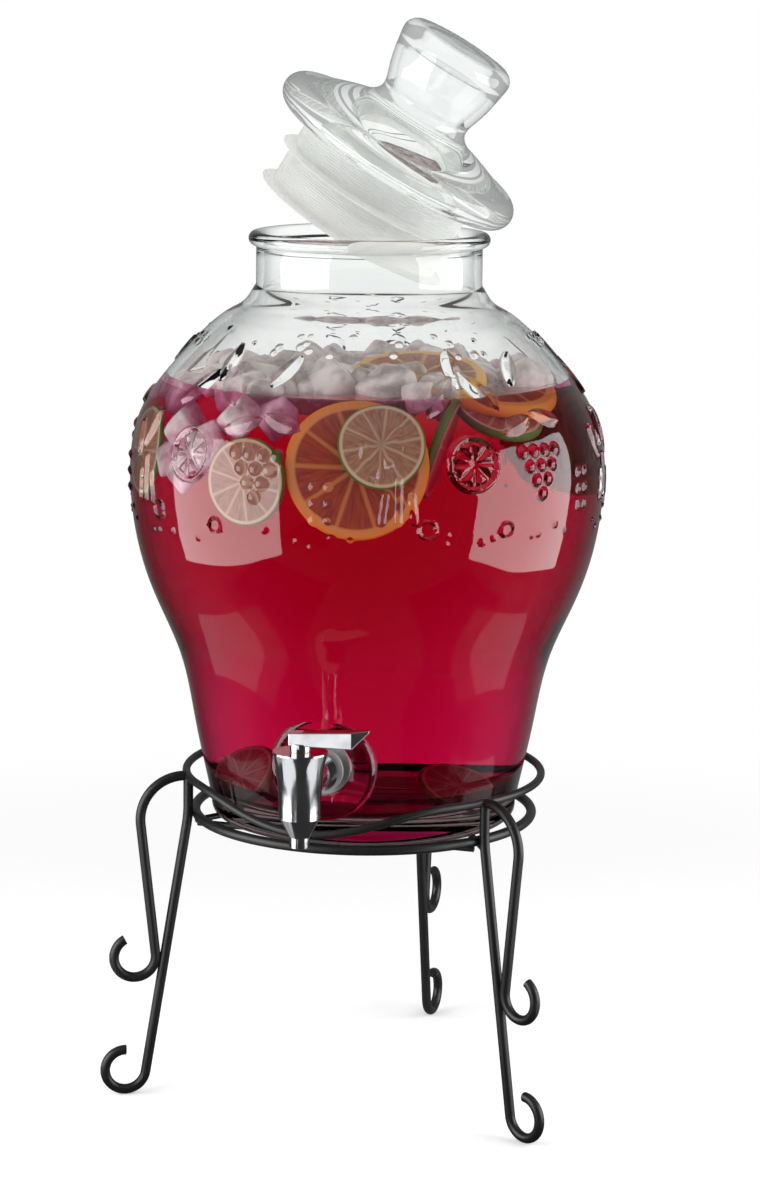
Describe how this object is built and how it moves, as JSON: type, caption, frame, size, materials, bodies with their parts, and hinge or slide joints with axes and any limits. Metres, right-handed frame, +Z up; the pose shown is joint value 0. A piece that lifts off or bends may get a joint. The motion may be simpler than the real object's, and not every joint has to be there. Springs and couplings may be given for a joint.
{
  "type": "glass beverage dispenser",
  "caption": "Round-bellied clear glass drink dispenser with a lever tap, a knobbed glass lid with a soft finned collar, and a black bent-wire stand with curled feet.",
  "frame": {"origin": "on the jar's axis, at the level of the table under the stand's feet", "axes": "+Z up along the jar's axis, -Y towards the front where the tap points, +X to the right of a person who faces the tap"},
  "size_m": [0.2412, 0.2775, 0.5426],
  "materials": {
    "black_wire": "satin black powder coat on bent steel rod",
    "clear_glass": "clear pressed glass, fire polished",
    "tap_chrome": "bright chrome plate",
    "plug_brass": "turned brass",
    "soft_collar": "translucent moulded soft plastic",
    "clear_silicone": "translucent moulded silicone",
    "white_plastic": "moulded nylon",
    "black_rubber": "moulded rubber"
  },
  "bodies": {
    "stand": {"base_ring": "black_wire", "guard_ring": "black_wire", "leg_front_left": "black_wire", "leg_front_right": "black_wire", "leg_back": "black_wire", "scroll_front_left": "black_wire", "scroll_front_right": "black_wire", "scroll_back": "black_wire", "support_bar_front": "black_wire", "support_bar_right": "black_wire", "support_bar_left": "black_wire"},
    "jar": {"jar": "clear_glass", "tap_body": "tap_chrome", "tap_nozzle": "tap_chrome", "tap_bonnet": "tap_chrome", "front_washer": "clear_silicone", "inner_seal": "clear_silicone", "slip_washer": "white_plastic", "lock_nut": "white_plastic"},
    "lever": {"tap_lever": "tap_chrome", "valve_plug": "plug_brass", "plug_ring_lower": "black_rubber", "plug_ring_upper": "black_rubber"},
    "lid": {"lid_glass": "clear_glass", "lid_collar": "soft_collar"}
  },
  "joints": [
    {"name": "jar_lift", "type": "slide", "parent": "stand", "child": "jar", "axis": [0, 0, 1], "range_m": [0, 0.08]},
    {"name": "lever_turn", "type": "hinge", "parent": "jar", "child": "lever", "pos_m": [0, -0.13, 0.207], "axis": [0, 0, 1], "range_deg": [-90, 0]},
    {"name": "lid_tilt", "type": "hinge", "parent": "jar", "child": "lid", "pos_m": [0.064, 0, 0.437], "axis": [0, 1, 0], "range_deg": [-31.5, 58.5], "deforming": ["lid_collar"]}
  ]
}
